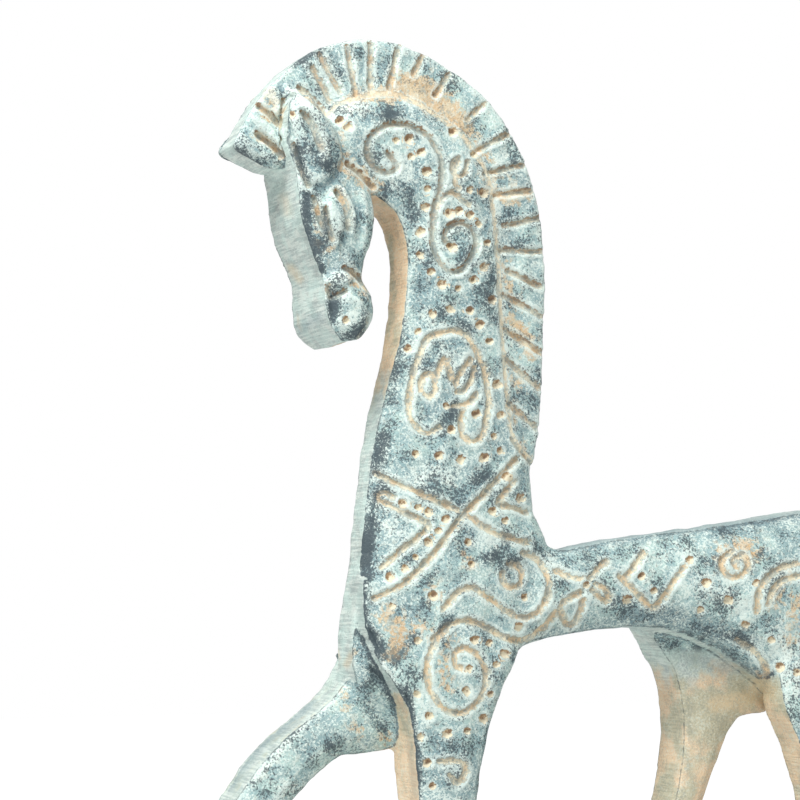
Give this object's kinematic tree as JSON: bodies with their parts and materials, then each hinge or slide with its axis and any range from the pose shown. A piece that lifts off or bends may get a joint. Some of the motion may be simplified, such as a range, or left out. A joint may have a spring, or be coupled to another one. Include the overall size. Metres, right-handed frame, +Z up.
{
  "type": "horse statuette",
  "caption": "Slender cast walking horse with an arched neck, upright crest and raised foreleg, on a low rectangular plinth.",
  "frame": {"origin": "centre of the plinth's underside", "axes": "+Z up, the horse walks towards -X, its left side is at -Y"},
  "size_m": [0.1696, 0.05, 0.2262],
  "materials": {
    "patinated_bronze": "cast bronze with a speckled blue-green patina, ochre in the recesses, filed pale edges",
    "plinth_bronze": "cast bronze with the same blue-green patina, plain, edges worn paler"
  },
  "bodies": {
    "root": {"horse": "patinated_bronze", "plinth": "plinth_bronze"}
  },
  "joints": []
}
